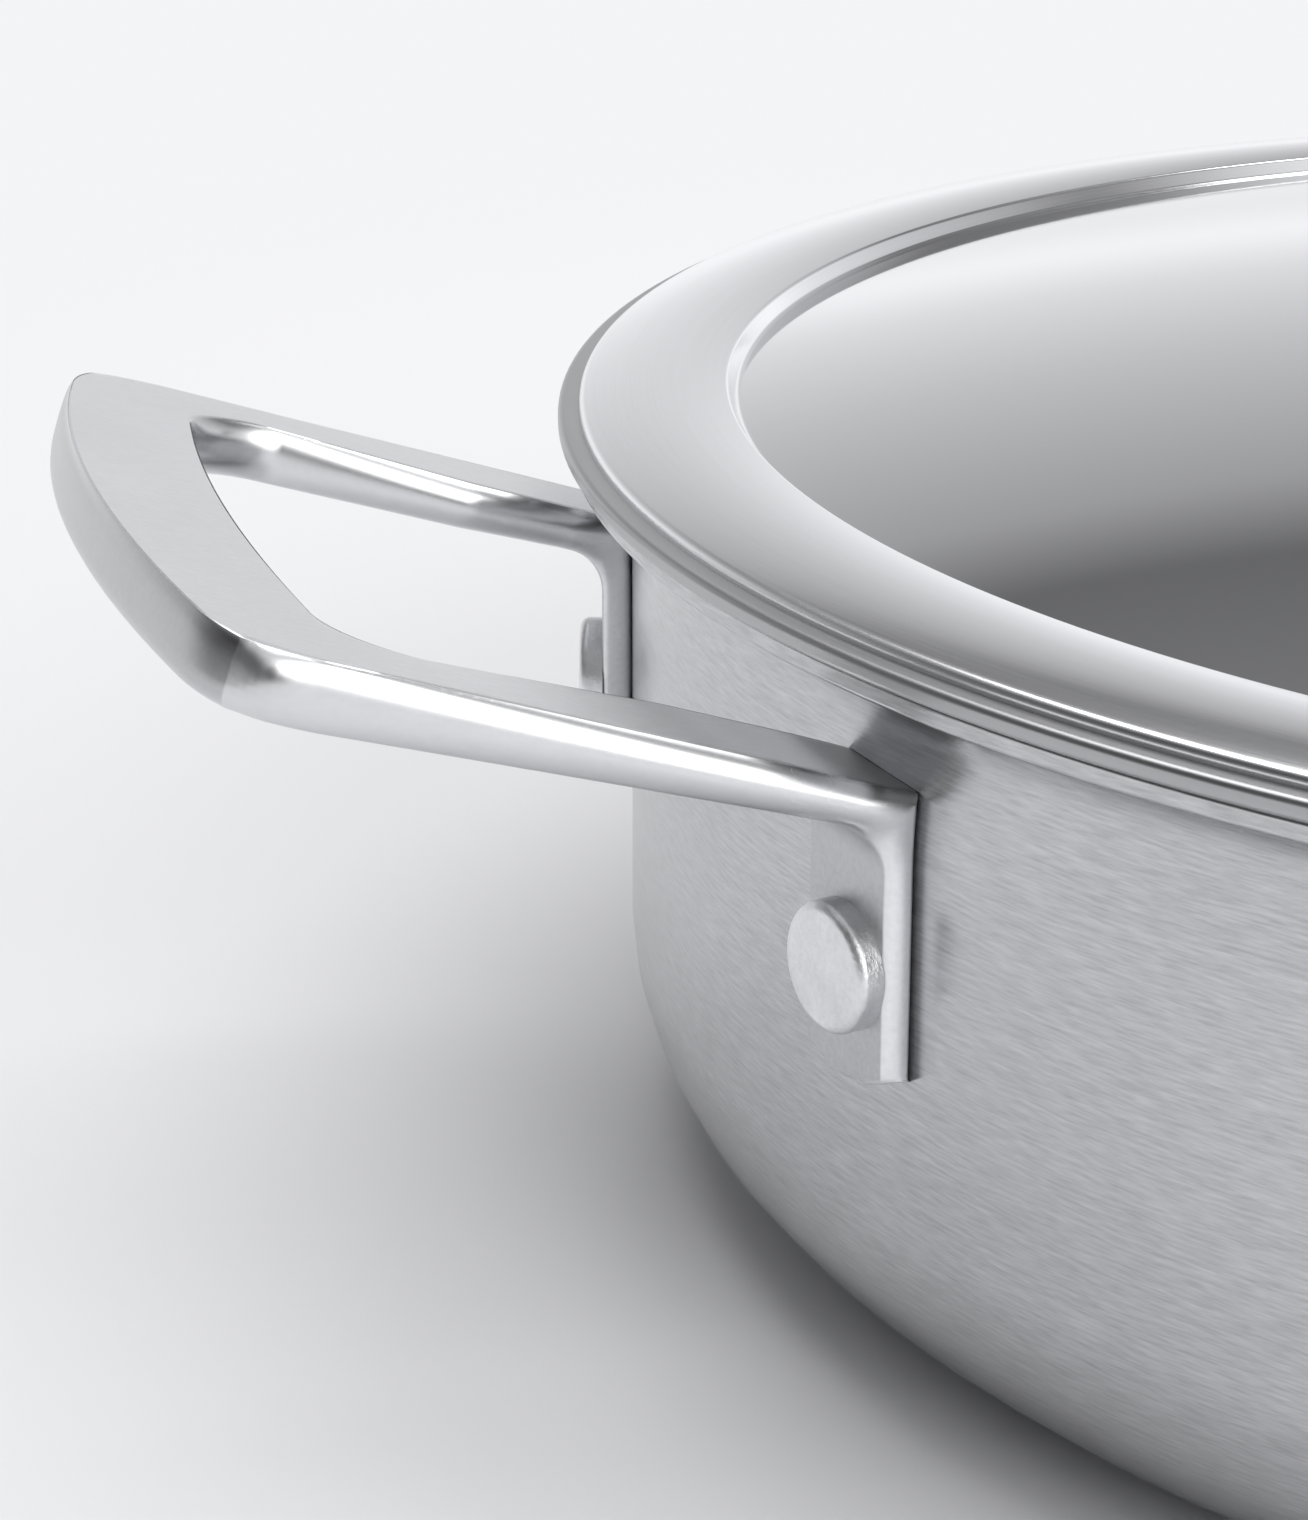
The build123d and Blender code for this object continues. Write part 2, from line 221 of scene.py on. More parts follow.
class Graph:
    """A node tree being drawn: node() adds any node and returns one of its outputs."""

    def __init__(self, tree):
        self.tree = tree

    def node(self, kind, settings=None, inputs=None, output=0):
        made = self.tree.nodes.new(kind)
        for name, value in (settings or {}).items():
            if name == "stops":
                self.set_stops(made.color_ramp, value)
            else:
                setattr(made, name, value)
        for socket, value in (inputs or {}).items():
            if isinstance(value, Signal):
                self.tree.links.new(value.socket, made.inputs[socket])
            else:
                made.inputs[socket].default_value = value
        return Signal(self, made.outputs[output] if made.outputs else None)

    @staticmethod
    def set_stops(ramp, stops):
        while len(ramp.elements) < len(stops):
            ramp.elements.new(1.0)
        for element, (place, tone) in zip(ramp.elements, stops):
            element.position = place
            element.color = (*tone, 1.0)

    def blend(self, amount, first, second):
        settings = {"data_type": "RGBA", "blend_type": "MIX"}
        inputs = {0: amount, MIX_FIRST: first, MIX_SECOND: second}
        return self.node("ShaderNodeMix", settings, inputs, MIX_RESULT)

    def step(self, value, start, end):
        """0 before start, 1 after end, smooth between."""
        settings = {"interpolation_type": "SMOOTHSTEP"}
        return self.node("ShaderNodeMapRange", settings, {0: value, 1: start, 2: end, 3: 0.0, 4: 1.0})

    def noise(self, place, scale, detail=2.0, roughness=0.5):
        inputs = {"Vector": place, "Scale": scale, "Detail": detail, "Roughness": roughness}
        return self.node("ShaderNodeTexNoise", None, inputs)

    def point(self, x, y, z):
        return self.node("ShaderNodeCombineXYZ", None, {0: x, 1: y, 2: z})

    def object_place(self):
        """Place on the piece, and its x, y and z."""
        place = self.node("ShaderNodeTexCoord", None, None, "Object")
        split = self.node("ShaderNodeSeparateXYZ", None, {0: place})
        outputs = split.socket.node.outputs
        return place, [Signal(self, outputs[axis]) for axis in range(3)]


def new_finish(name):
    """Empty material and its graph."""
    material = bpy.data.materials.new(name)
    material.use_nodes = True
    material.node_tree.nodes.clear()
    return material, Graph(material.node_tree)


def close_finish(graph, inputs):
    """Metal shader on the material's output."""
    inputs = {"Metallic": 1.0, **inputs}
    shader = graph.node("ShaderNodeBsdfPrincipled", None, inputs)
    graph.node("ShaderNodeOutputMaterial", None, {"Surface": shader})


def tint(level):
    """Near-neutral steel colour; steel is a touch cool."""
    return (level * 0.992, level * 0.997, level * 1.016, 1.0)


def steel_tone(graph, amount, tones):
    """Colour between two levels of steel."""
    dark, bright = tones
    return graph.blend(amount, tint(dark), tint(bright))


def relief(graph, strength, distance, height):
    """Fine relief of the surface, for the shader's normal."""
    inputs = {"Strength": strength, "Distance": distance, "Height": height}
    return graph.node("ShaderNodeBump", None, inputs)


def turned_streaks(graph, brush):
    """Brush lines that run round the axis: fine across, long along."""
    lines, wander = brush
    place, (x, y, z) = graph.object_place()
    radius = (x * x + y * y) ** 0.5
    along = radius.math("MAXIMUM", radius, 1.0 * MM)
    across = (radius + z) * lines
    fine = graph.noise(graph.point(x / along * wander, y / along * wander, across), 1.0, 3.0, 0.62)
    return place, radius, z, fine


def brushed_pan_steel():
    """Outside and inside of the pan, brushed round and round."""
    material, graph = new_finish("brushed_pan_steel")
    place, radius, z, fine = turned_streaks(graph, PAN_BRUSH)
    bands = graph.noise(graph.point(0.0, 0.0, (radius + z) * 700.0), 1.0, 2.0)
    cloud = graph.noise(place, 22.0, 2.0)
    level = (fine * 1.3 + bands * 0.25 + cloud * 0.15 - 0.35).clamped()
    # Painted shade: the lip's top is darkened beside the ring's edge, where the ring's flange shades it
    far_out = graph.step(radius, cover_radius - 3.0 * MM, cover_radius)
    lip_shade = far_out * graph.step(z, lip_top - 0.6 * MM, lip_top - 0.2 * MM)
    shade = graph.blend(lip_shade, steel_tone(graph, level, PAN_TONES), tint(lip_shade_tone))
    close_finish(
        graph,
        {
            "Base Color": shade,
            "Roughness": 0.17 + fine * 0.12 + cloud * 0.03,
            "Anisotropic": 0.4,
            "Normal": relief(graph, 0.4, 0.02 * MM, fine),
        },
    )
    return material


def lid_steel():
    """Lid cover: mirror dome inside the step, fine brushed band outside it."""
    material, graph = new_finish("lid_steel")
    place, radius, z, fine = turned_streaks(graph, BAND_BRUSH)
    band = graph.step(radius, dome_radius - 0.6 * MM, dome_radius + 0.5 * MM)
    broad = graph.noise(graph.point(0.0, 0.0, (radius + z) * 900.0), 1.0, 2.0)
    cloud = graph.noise(place, 12.0, 2.0)
    polish = graph.noise(place, 2600.0, 2.0)
    wipe = graph.step(graph.noise(place, 16.0, 3.0), 0.35, 0.75)
    edge = graph.step(radius, cover_radius - 1.2 * MM, cover_radius)
    rough = band * (0.1 + fine * 0.09 + edge * 0.14) + (1.0 - band) * (0.045 + wipe * 0.02)
    grain = (fine * 0.6 + broad * 0.3 + cloud * 0.1).clamped()
    shade = graph.blend(band, tint(dome_tone), steel_tone(graph, grain, BAND_TONES))
    height = fine * band + polish * (1.0 - band) * 0.01
    bump = relief(graph, 0.22, 0.01 * MM, height)
    close_finish(graph, {"Base Color": shade, "Roughness": rough, "Normal": bump})
    return material


def lid_ring_steel():
    """Ring under the cover: finely turned, its steel set darker as painted shade for the crease between
    its flange and the lip.
    """
    material, graph = new_finish("lid_ring_steel")
    place, _, _, fine = turned_streaks(graph, RING_BRUSH)
    cloud = graph.noise(place, 40.0, 2.0)
    level = (fine * 0.6 + cloud * 0.4).clamped()
    close_finish(
        graph,
        {
            "Base Color": steel_tone(graph, level, RING_SHADED_TONES),
            "Roughness": 0.3 + fine * 0.12,
            "Normal": relief(graph, 0.2, 0.012 * MM, fine),
        },
    )
    return material


def satin_cast_steel():
    """Castings: brushed across the flat top, satin sides, blasted feet, and painted shade that darkens
    the faces turned along x, the ends and feet.
    """
    material, graph = new_finish("satin_cast_steel")
    place, (x, y, z) = graph.object_place()
    radius = (x * x + y * y) ** 0.5
    grain = graph.noise(place, cast_grain, 3.0, 0.65)
    across = graph.noise(graph.point(x * 420.0, y * 4200.0, z * 900.0), 1.0, 3.0, 0.6)
    cloud = graph.noise(place, 70.0, 3.0)
    near_wall = 1.0 - graph.step(radius, wall_radius + 5.0 * MM, wall_radius + 13.0 * MM)
    low = 1.0 - graph.step(z, lip_underside - 22.0 * MM, lip_underside - 9.0 * MM)
    blasted = (near_wall * low).clamped()
    facing = graph.node("ShaderNodeNewGeometry", None, None, "Normal")
    parts = graph.node("ShaderNodeSeparateXYZ", None, {0: facing}).socket.node.outputs
    sideways, upward = Signal(graph, parts[0]), Signal(graph, parts[2])
    flat_top = graph.step(upward, 0.9, 0.945)
    # Painted shade: faces that turn along x, such as the grip's end and the feet, take darker tones
    outward = graph.step(sideways * sideways, 0.35, 0.75)
    height = grain * (0.12 + blasted * 2.8) + across * (0.15 + flat_top * 0.8)
    bump = relief(graph, 0.3, 0.02 * MM, height)
    level = (grain * (0.25 + blasted * 0.5) + cloud * 0.3 + across * (0.2 + flat_top * 0.5)).clamped()
    rough = 0.23 + cloud * 0.06 + blasted * 0.2 + flat_top * (0.03 + across * 0.1)
    sides = steel_tone(graph, level, CAST_TONES)
    shade = graph.blend(blasted, sides, steel_tone(graph, level, CAST_BLASTED_TONES))
    # Painted shade on the faces turned along x
    shade = graph.blend(outward, shade, steel_tone(graph, level, CAST_SIDE_SHADE_TONES))
    close_finish(graph, {"Base Color": shade, "Roughness": rough, "Normal": bump})
    return material


def blasted_rivet_steel():
    """Rivets: bead blasted, bright and grainy."""
    material, graph = new_finish("blasted_rivet_steel")
    place, _ = graph.object_place()
    grain = graph.noise(place, rivet_grain, 3.0, 0.7)
    cloud = graph.noise(place, 240.0, 2.0)
    level = (grain * 0.5 + cloud * 0.5).clamped()
    close_finish(
        graph,
        {
            "Base Color": steel_tone(graph, level, RIVET_TONES),
            "Roughness": 0.34 + cloud * 0.08,
            "Normal": relief(graph, 0.9, 0.09 * MM, grain),
        },
    )
    return material


def corner_line(name, corners):
    """Profile as an edge line: each corner is radius, height and the radius of its bend."""
    mesh = bpy.data.meshes.new(name)
    points = [(radius, height, 0.0) for radius, height, _ in corners]
    mesh.from_pydata(points, [(i, i + 1) for i in range(len(points) - 1)], [])
    bends = mesh.attributes.new("bend", "FLOAT", "POINT")
    bends.data.foreach_set("value", [bend for _, _, bend in corners])
    return mesh


def arc(start, end, bulge, steps):
    """Points between start and end on a shallow arc that stands bulge off the chord."""
    points = []
    across = Vector(end) - Vector(start)
    normal = Vector((-across.y, across.x)).normalized()
    half = across.length / 2
    curve_radius = (half**2 + bulge**2) / (2 * abs(bulge))
    for i in range(1, steps):
        along = -half + 2 * half * i / steps
        rise = sqrt(curve_radius**2 - along**2) - (curve_radius - abs(bulge))
        spot = Vector(start) + across * (i / steps) + normal * (rise if bulge > 0 else -rise)
        points.append((spot.x, spot.y, 0.0))
    return points


def add_input(tree, name, kind):
    tree.interface.new_socket(name, in_out="INPUT", socket_type=kind)


def turning_tree():
    """Geometry tree that bends a profile's corners and turns it about the vertical axis."""
    tree = bpy.data.node_groups.new("turn_profile", "GeometryNodeTree")
    add_input(tree, "Profile", "NodeSocketGeometry")
    add_input(tree, "Steps round", "NodeSocketInt")
    add_input(tree, "Steps in a bend", "NodeSocketInt")
    add_input(tree, "Rail radius", "NodeSocketFloat")
    add_input(tree, "Finish", "NodeSocketMaterial")
    tree.interface.new_socket("Turned", in_out="OUTPUT", socket_type="NodeSocketGeometry")
    graph = Graph(tree)
    given = graph.node("NodeGroupInput").socket.node.outputs
    profile, round_steps, bend_steps, rail, finish = (Signal(graph, given[i]) for i in range(5))
    curve = graph.node("GeometryNodeMeshToCurve", None, {"Mesh": profile})
    bend = graph.node("GeometryNodeInputNamedAttribute", {"data_type": "FLOAT"}, {"Name": "bend"})
    fillet_inputs = {"Curve": curve, "Count": bend_steps, "Radius": bend}
    bent = graph.node("GeometryNodeFilletCurve", {"mode": "POLY"}, fillet_inputs)
    # On a ring seen from above, a profile's x points outwards and its y points down
    inwards = graph.point(rail * -1.0, 0.0, 0.0)
    upright = {"Geometry": bent, "Translation": inwards, "Scale": (1, -1, 1)}
    moved = graph.node("GeometryNodeTransform", None, upright)
    ring = graph.node(
        "GeometryNodeCurvePrimitiveCircle",
        {"mode": "RADIUS"},
        {"Resolution": round_steps, "Radius": rail},
    )
    level = graph.node("GeometryNodeSetCurveNormal", {"mode": "Z_UP"}, {"Curve": ring})
    swept = graph.node("GeometryNodeCurveToMesh", None, {"Curve": level, "Profile Curve": moved})
    poled = graph.node("GeometryNodeMergeByDistance", None, {"Geometry": swept, "Distance": 0.002 * MM})
    whole = graph.node("GeometryNodeRealizeInstances", None, {"Geometry": poled})
    done = graph.node("GeometryNodeSetMaterial", None, {"Geometry": whole, "Material": finish})
    graph.node("NodeGroupOutput", None, {0: done})
    return tree


def riveting_tree(turning):
    """Geometry tree that sets one turned rivet on every seat point, along the seat's axis."""
    tree = bpy.data.node_groups.new("set_rivets", "GeometryNodeTree")
    add_input(tree, "Seats", "NodeSocketGeometry")
    add_input(tree, "Rivet", "NodeSocketObject")
    add_input(tree, "Steps round", "NodeSocketInt")
    add_input(tree, "Steps in a bend", "NodeSocketInt")
    add_input(tree, "Rail radius", "NodeSocketFloat")
    add_input(tree, "Finish", "NodeSocketMaterial")
    tree.interface.new_socket("Rivets", in_out="OUTPUT", socket_type="NodeSocketGeometry")
    graph = Graph(tree)
    given = graph.node("NodeGroupInput").socket.node.outputs
    seats, rivet, round_steps, bend_steps, rail, finish = (Signal(graph, given[i]) for i in range(6))
    profile = graph.node("GeometryNodeObjectInfo", None, {"Object": rivet}, "Geometry")
    inputs = {0: profile, 1: round_steps, 2: bend_steps, 3: rail, 4: finish}
    turned = graph.node("GeometryNodeGroup", {"node_tree": turning}, inputs)
    points = graph.node("GeometryNodeMeshToPoints", None, {"Mesh": seats})
    axis = graph.node(
        "GeometryNodeInputNamedAttribute", {"data_type": "FLOAT_VECTOR"}, {"Name": "seat_axis"}
    )
    facing = graph.node("FunctionNodeAlignRotationToVector", {"axis": "Z"}, {"Vector": axis})
    placed = graph.node(
        "GeometryNodeInstanceOnPoints",
        None,
        {"Points": points, "Instance": turned, "Rotation": facing},
    )
    whole = graph.node("GeometryNodeRealizeInstances", None, {"Geometry": placed})
    done = graph.node("GeometryNodeSetMaterial", None, {"Geometry": whole, "Material": finish})
    graph.node("NodeGroupOutput", None, {0: done})
    return tree


def set_tree_input(modifier, name, value):
    """Set a tree's named input by its socket's identifier."""
    for item in modifier.node_group.interface.items_tree:
        if item.item_type == "SOCKET" and item.in_out == "INPUT" and item.name == name:
            modifier[item.identifier] = value


def baked(name, mesh, tree, inputs):
    """Run a tree on a mesh and return a plain object with clean outward normals."""
    source = bpy.data.objects.new(name + "_source", mesh)
    bpy.context.scene.collection.objects.link(source)
    modifier = source.modifiers.new("tree", "NODES")
    modifier.node_group = tree
    for input_name, value in inputs.items():
        set_tree_input(modifier, input_name, value)
    shaped = bpy.data.meshes.new_from_object(evaluated(source))
    source.modifiers.remove(modifier)
    bpy.data.objects.remove(source)
    return finished_piece(name, shaped, TURNED_SHARP)


def evaluated(piece):
    bpy.context.view_layer.update()
    return piece.evaluated_get(bpy.context.evaluated_depsgraph_get())


def finished_piece(name, mesh, sharp_angle):
    """Object with merged points, outward faces and area-weighted smooth normals."""
    work = bmesh.new()
    work.from_mesh(mesh)
    bmesh.ops.remove_doubles(work, verts=work.verts, dist=same_point)
    bmesh.ops.recalc_face_normals(work, faces=work.faces)
    for face in work.faces:
        face.smooth = True
    work.to_mesh(mesh)
    work.free()
    mesh.name = name
    mesh.set_sharp_from_angle(angle=radians(sharp_angle))
    piece = bpy.data.objects.new(name, mesh)
    bpy.context.scene.collection.objects.link(piece)
    weigh = piece.modifiers.new("even_normals", "WEIGHTED_NORMAL")
    weigh.keep_sharp = True
    weigh.weight = 100
    weigh.mode = "FACE_AREA"
    return piece


def turned_inputs(finish):
    return {
        "Steps round": steps_round,
        "Steps in a bend": steps_in_bend,
        "Rail radius": rail_radius,
        "Finish": finish,
    }


def pan_profile():
    """Outside from the base's middle up to the lip, and back down the inside."""
    inside = wall_radius - pan_sheet
    return [
        (0.0, 0.0, 0.0),
        (wall_radius, 0.0, base_corner_bend),
        (wall_radius, lip_underside, flare_radius),
        (lip_radius, lip_underside, lip_edge_bend),
        (lip_radius, lip_top, lip_edge_bend),
        (inside, lip_top, flare_radius + pan_sheet),
        (inside, pan_sheet, base_corner_bend - pan_sheet),
        (0.0, pan_sheet, 0.0),
    ]


def ring_profile():
    """Flange on the lip and the skirt that centres the lid, as a closed line."""
    outer = wall_radius - pan_sheet - skirt_clearance
    inner = outer - skirt_thickness
    underside = ring_top - ring_thickness
    low = ring_top - skirt_depth
    middle = (inner + ring_radius) / 2
    return [
        (middle, ring_top, 0.0),
        (inner, ring_top, skirt_edge_bend),
        (inner, low, skirt_edge_bend),
        (outer, low, skirt_edge_bend),
        (outer, underside, skirt_edge_bend),
        (ring_radius, underside, ring_edge_bend),
        (ring_radius, ring_top, ring_edge_bend),
        (middle, ring_top, 0.0),
    ]


def cover_profile():
    """Dome, step up to the crest, bowed band, edge, and back under at sheet thickness."""
    edge_top = ring_top + cover_sheet
    bevel = cover_sheet * 0.6
    top = [
        (0.0, dome_top, 0.0),
        *arc((0.0, dome_top), (dome_radius, dome_edge_top), dome_bulge(), steps_on_dome),
        (dome_radius, dome_edge_top, crest_bend),
        (crest_radius, crest_top, crest_bend),
        *arc((crest_radius, crest_top), (cover_radius, edge_top), band_bulge, steps_on_band),
        (cover_radius, edge_top, cover_edge_bend),
    ]
    under = [
        (cover_radius, ring_top, 0.0),
        *arc(
            (cover_radius, ring_top),
            (crest_radius + bevel, crest_top - cover_sheet),
            -band_bulge,
            steps_on_band,
        ),
        (crest_radius + bevel, crest_top - cover_sheet, 0.0),
        (dome_radius + bevel, dome_edge_top - cover_sheet, 0.0),
        *arc(
            (dome_radius + bevel, dome_edge_top - cover_sheet),
            (0.0, dome_top - cover_sheet),
            -dome_bulge(),
            steps_on_dome,
        ),
        (0.0, dome_top - cover_sheet, 0.0),
    ]
    return top + under


def dome_bulge():
    """How far the dome's section stands off the chord from its top to its edge."""
    half = sqrt(dome_radius**2 + dome_height**2) / 2
    return dome_sphere_radius - sqrt(dome_sphere_radius**2 - half**2)


def rivet_profile(grip):
    """Rivet on its own axis: the outer head stands on zero, the inner head hangs below the grip."""
    low = -grip - inside_head_height
    return [
        (0.0, head_height, 0.0),
        (head_radius, head_height - head_crown, head_rim_bend),
        (head_radius, 0.0, 0.0),
        (shank_radius, 0.0, 0.0),
        (shank_radius, -grip, 0.0),
        (inside_head_radius, -grip, 0.0),
        (inside_head_radius, low, inside_rim_bend),
        (0.0, low, 0.0),
    ]


def seat_mesh(name, seats):
    """Seat points with the axis of each."""
    mesh = bpy.data.meshes.new(name)
    mesh.from_pydata([spot for spot, _ in seats], [], [])
    axes = mesh.attributes.new("seat_axis", "FLOAT_VECTOR", "POINT")
    axes.data.foreach_set("vector", [part for _, axis in seats for part in axis])
    return mesh


def wall_seats():
    seats = []
    for turn in (0.0, pi):
        for side in (-1, 1):
            angle = turn + side * foot_angle
            axis = Vector((cos(angle), sin(angle), 0.0))
            seats.append((axis * (wall_radius + foot_thickness) + Vector((0, 0, rivet_height)), axis))
    return seats


def lid_seats():
    seats = []
    tilt = asin(lid_rivet_offset / dome_sphere_radius)
    centre = Vector((0.0, 0.0, dome_top - dome_sphere_radius))
    for side in (-1, 1):
        axis = Vector((side * sin(tilt), 0.0, cos(tilt)))
        seats.append((centre + axis * (dome_sphere_radius + lid_foot_thickness), axis))
    return seats


def mixed(first, second, amount):
    """Between two numbers, points or lists of sizes."""
    if isinstance(first, tuple):
        return tuple(mixed(a, b, amount) for a, b in zip(first, second))
    return first + (second - first) * amount


def eased(amount):
    amount = min(1.0, max(0.0, amount))
    return amount * amount * (3 - 2 * amount)


def on_loop(along, across, depth):
    """Point of the loop from its place on the sloping top face and its depth under it, 0 to 1."""
    thick = (root_thickness + along * tan(thickening)) * depth
    height = lip_underside - loop_root_drop + along * sin(loop_rise) - thick * cos(loop_rise)
    return Vector((wall_radius + along * cos(loop_rise) + thick * sin(loop_rise), across, height))


def face_place(across):
    """Distance out of the foot's flat face."""
    return (wall_radius + foot_thickness - across * sin(foot_angle)) / cos(foot_angle)


def wall_place(across):
    return sqrt((wall_radius + seat_gap) ** 2 - across**2)


def under_height(out):
    root = lip_underside - loop_root_drop - root_thickness / cos(loop_rise)
    return root + (out - wall_radius) * tan(under_rise)


def top_height(out):
    return lip_underside - loop_root_drop + (out - wall_radius) * tan(loop_rise)


def bend_start(across):
    """Where the underside starts to bend down into the foot, and the bend's own centre height."""
    out = face_place(across) + foot_bend * (1 - sin(under_rise))
    return out, under_height(out) - foot_bend * cos(under_rise)


def foot_end(across):
    """Height of the foot's round lower end."""
    sideways = (across - foot_middle) / cos(foot_angle)
    centre = rivet_height - foot_below_rivet + foot_end_bend
    return centre - sqrt(foot_end_bend**2 - sideways**2)


def on_bend(turn, across, depth):
    """Point of the bend from arm to foot; turn goes from 0 at the arm to 1 at the foot."""
    start, centre = bend_start(across)
    angle = pi / 2 + under_rise + turn * (pi / 2 - under_rise)
    inner = Vector(
        (face_place(across) + foot_bend * (1 + cos(angle)), across, centre + foot_bend * sin(angle))
    )
    wall = wall_place(across)
    corner = Vector((wall, across, top_height(wall)))
    first_out = start - root_thickness * sin(loop_rise)
    if turn < 0.5:
        out = mixed(first_out, wall, turn * 2)
        outer = Vector((out, across, top_height(out)))
    else:
        outer = corner.lerp(Vector((wall, across, centre)), turn * 2 - 1)
    return outer.lerp(inner, depth)


def on_foot(drop, across, depth):
    """Point of the foot below the bend; drop goes from 0 to 1 at the lower end."""
    _, centre = bend_start(across)
    end = foot_end(across)
    height = mixed(centre, end, drop)
    left = min(1.0, max(0.0, 1 - (height - end) / foot_lip_bend))
    face = face_place(across) - foot_lip_bend * (1 - sqrt(1 - left * left))
    return Vector((mixed(wall_place(across), face, depth), across, height))


def side_inset(depth, rounding):
    """How far the side of the bar stands back at a depth, 0 at the top and 1 at the bottom."""
    top, top_share, bottom, bottom_share, bow = rounding
    inset = bow * (2 * depth - 1) ** 2
    for size, share, reach, curve in (
        (top, top_share, top_share - depth, TOP_CURVE),
        (bottom, bottom_share, depth - 1 + bottom_share, BOTTOM_CURVE),
    ):
        if reach > 0:
            part = curve * reach / share
            inset += size * (1 - sqrt(1 - part * part)) / (1 - sqrt(1 - curve * curve))
    return inset


def corner_cut(from_corner):
    """How far the outer corner is ground back, by the distance from it along the outline."""
    return max(0.0, 1 - from_corner / corner_run) ** 2 * corner_grind


def bar_section(place, width, thick, outside, inside, swell, from_corner=corner_run):
    """Closed ring of points round the bar; place(share of the width, depth) gives each one.

    outside and inside are the roundings of the two sides, and swell is how far each one
    stands past its outline.
    """
    depths = [(1 - cos(pi * i / steps_on_side)) / 2 for i in range(steps_on_side + 1)]
    depths[0] = ridge_chamfer / thick
    swell_out, swell_in = swell
    swell_out -= corner_cut(from_corner)
    out_edge = side_inset(0.0, outside) - swell_out
    in_edge = side_inset(0.0, inside) - swell_in
    out_low = side_inset(1.0, outside) - swell_out
    in_low = side_inset(1.0, inside) - swell_in
    ring = []
    for step in ACROSS_STEPS:
        across = mixed(in_edge + ridge_chamfer, width - out_edge - ridge_chamfer, step)
        ring.append(place(across / width, 0.0))
    for depth in depths:
        back = side_inset(depth, outside) - swell_out
        ring.append(place(1 - back / width, depth))
    for step in ACROSS_STEPS[1:-1]:
        ring.append(place(mixed(width - out_low, in_low, step) / width, 1.0))
    for depth in reversed(depths):
        ring.append(place((side_inset(depth, inside) - swell_in) / width, depth))
    return ring


def loop_outlines():
    """Matching points of the opening's and the outer outline, grip's middle to arm's root.

    Each pair comes with how far it belongs to the arm: 0 on the grip and 1 on the arm.
    """
    reach = loop_reach / cos(loop_rise)
    opening = (loop_reach - grip_width) / cos(loop_rise)
    opening_half = loop_half_width - arm_width
    root_half = loop_half_width - foot_width
    straight = foot_thickness + 2 * foot_bend
    side_slope = (opening_half - root_half) / (opening - opening_bow - straight)
    corner_out = opening - opening_bow - opening_corner
    corner_across = opening_half - side_slope * opening_corner - opening_corner
    pairs = []
    for i in range(steps_on_grip):
        share = 1 - (1 - i / steps_on_grip) ** grip_crowding
        across = share * corner_across
        inner = (opening - opening_bow * (across / opening_half) ** 2, across)
        outer = (reach - grip_bow * share**2, share * loop_half_width)
        pairs.append((inner, outer, 0.0))
    edge_out = opening - opening_bow * (corner_across / opening_half) ** 2
    for i in range(steps_on_corner + 1):
        share = i / steps_on_corner
        turn = share * (pi / 2)
        inner = (
            corner_out + (edge_out - corner_out) * cos(turn),
            corner_across + opening_corner * sin(turn),
        )
        outer = (reach - grip_bow - share * opening_corner, loop_half_width)
        pairs.append((inner, outer, eased(share * 2)))
    ends = []
    for across in (root_half, loop_half_width):
        start, _ = bend_start(across)
        ends.append((start - root_thickness * sin(loop_rise) - wall_radius) / cos(loop_rise))
    first_inner, first_outer = pairs[-1][0][0], pairs[-1][1][0]
    for i in range(1, steps_on_arm):
        share = i / steps_on_arm
        along = mixed(first_inner, ends[0], share)
        across = root_half + side_slope * max(0.0, along - straight)
        if i == 1:
            # No step outwards where the corner's bend runs into the straight side
            across = min(across, pairs[-1][0][1])
        outer = (mixed(first_outer, ends[1], share), loop_half_width)
        pairs.append(((along, across), outer, 1.0))
    return pairs


def half_handle():
    """Rings of points from the grip's middle to the foot's lower end, for the side at +y."""
    rings = []
    level_sides = (0.0, 0.0)
    corner = (loop_reach / cos(loop_rise) - grip_bow, loop_half_width)
    for inner, outer, arm in loop_outlines():
        width = hypot(outer[0] - inner[0], outer[1] - inner[1])
        thick = root_thickness + outer[0] * tan(thickening)

        def place(share, depth):
            along, across = mixed(inner, outer, share)
            return on_loop(along, across, depth)

        outside = mixed(GRIP_SIDE, ARM_SIDE, arm)
        inside = mixed(GRIP_INSIDE, ARM_INSIDE, arm)
        from_corner = hypot(outer[0] - corner[0], outer[1] - corner[1])
        swell = mixed(level_sides, ARM_SWELL, arm)
        rings.append(bar_section(place, width, thick, outside, inside, swell, from_corner))
    low = loop_half_width - foot_width
    for i in range(steps_on_bend + 1):
        turn = i / steps_on_bend

        def place(share, depth):
            return on_bend(turn, mixed(low, loop_half_width, share), depth)

        outside = mixed(ARM_SIDE, FOOT_SIDE, eased(turn))
        inside = mixed(ARM_INSIDE, FOOT_INSIDE, eased(turn))
        swell = mixed(ARM_SWELL, level_sides, eased(turn))
        rings.append(bar_section(place, foot_width, root_thickness, outside, inside, swell))
    for i in range(1, steps_on_foot + 1):
        drop = sin(pi / 2 * i / steps_on_foot)

        def place(share, depth):
            return on_foot(drop, mixed(low, loop_half_width, share), depth)

        section = (foot_width, foot_thickness, FOOT_SIDE, FOOT_INSIDE, level_sides)
        rings.append(bar_section(place, *section))
    return rings


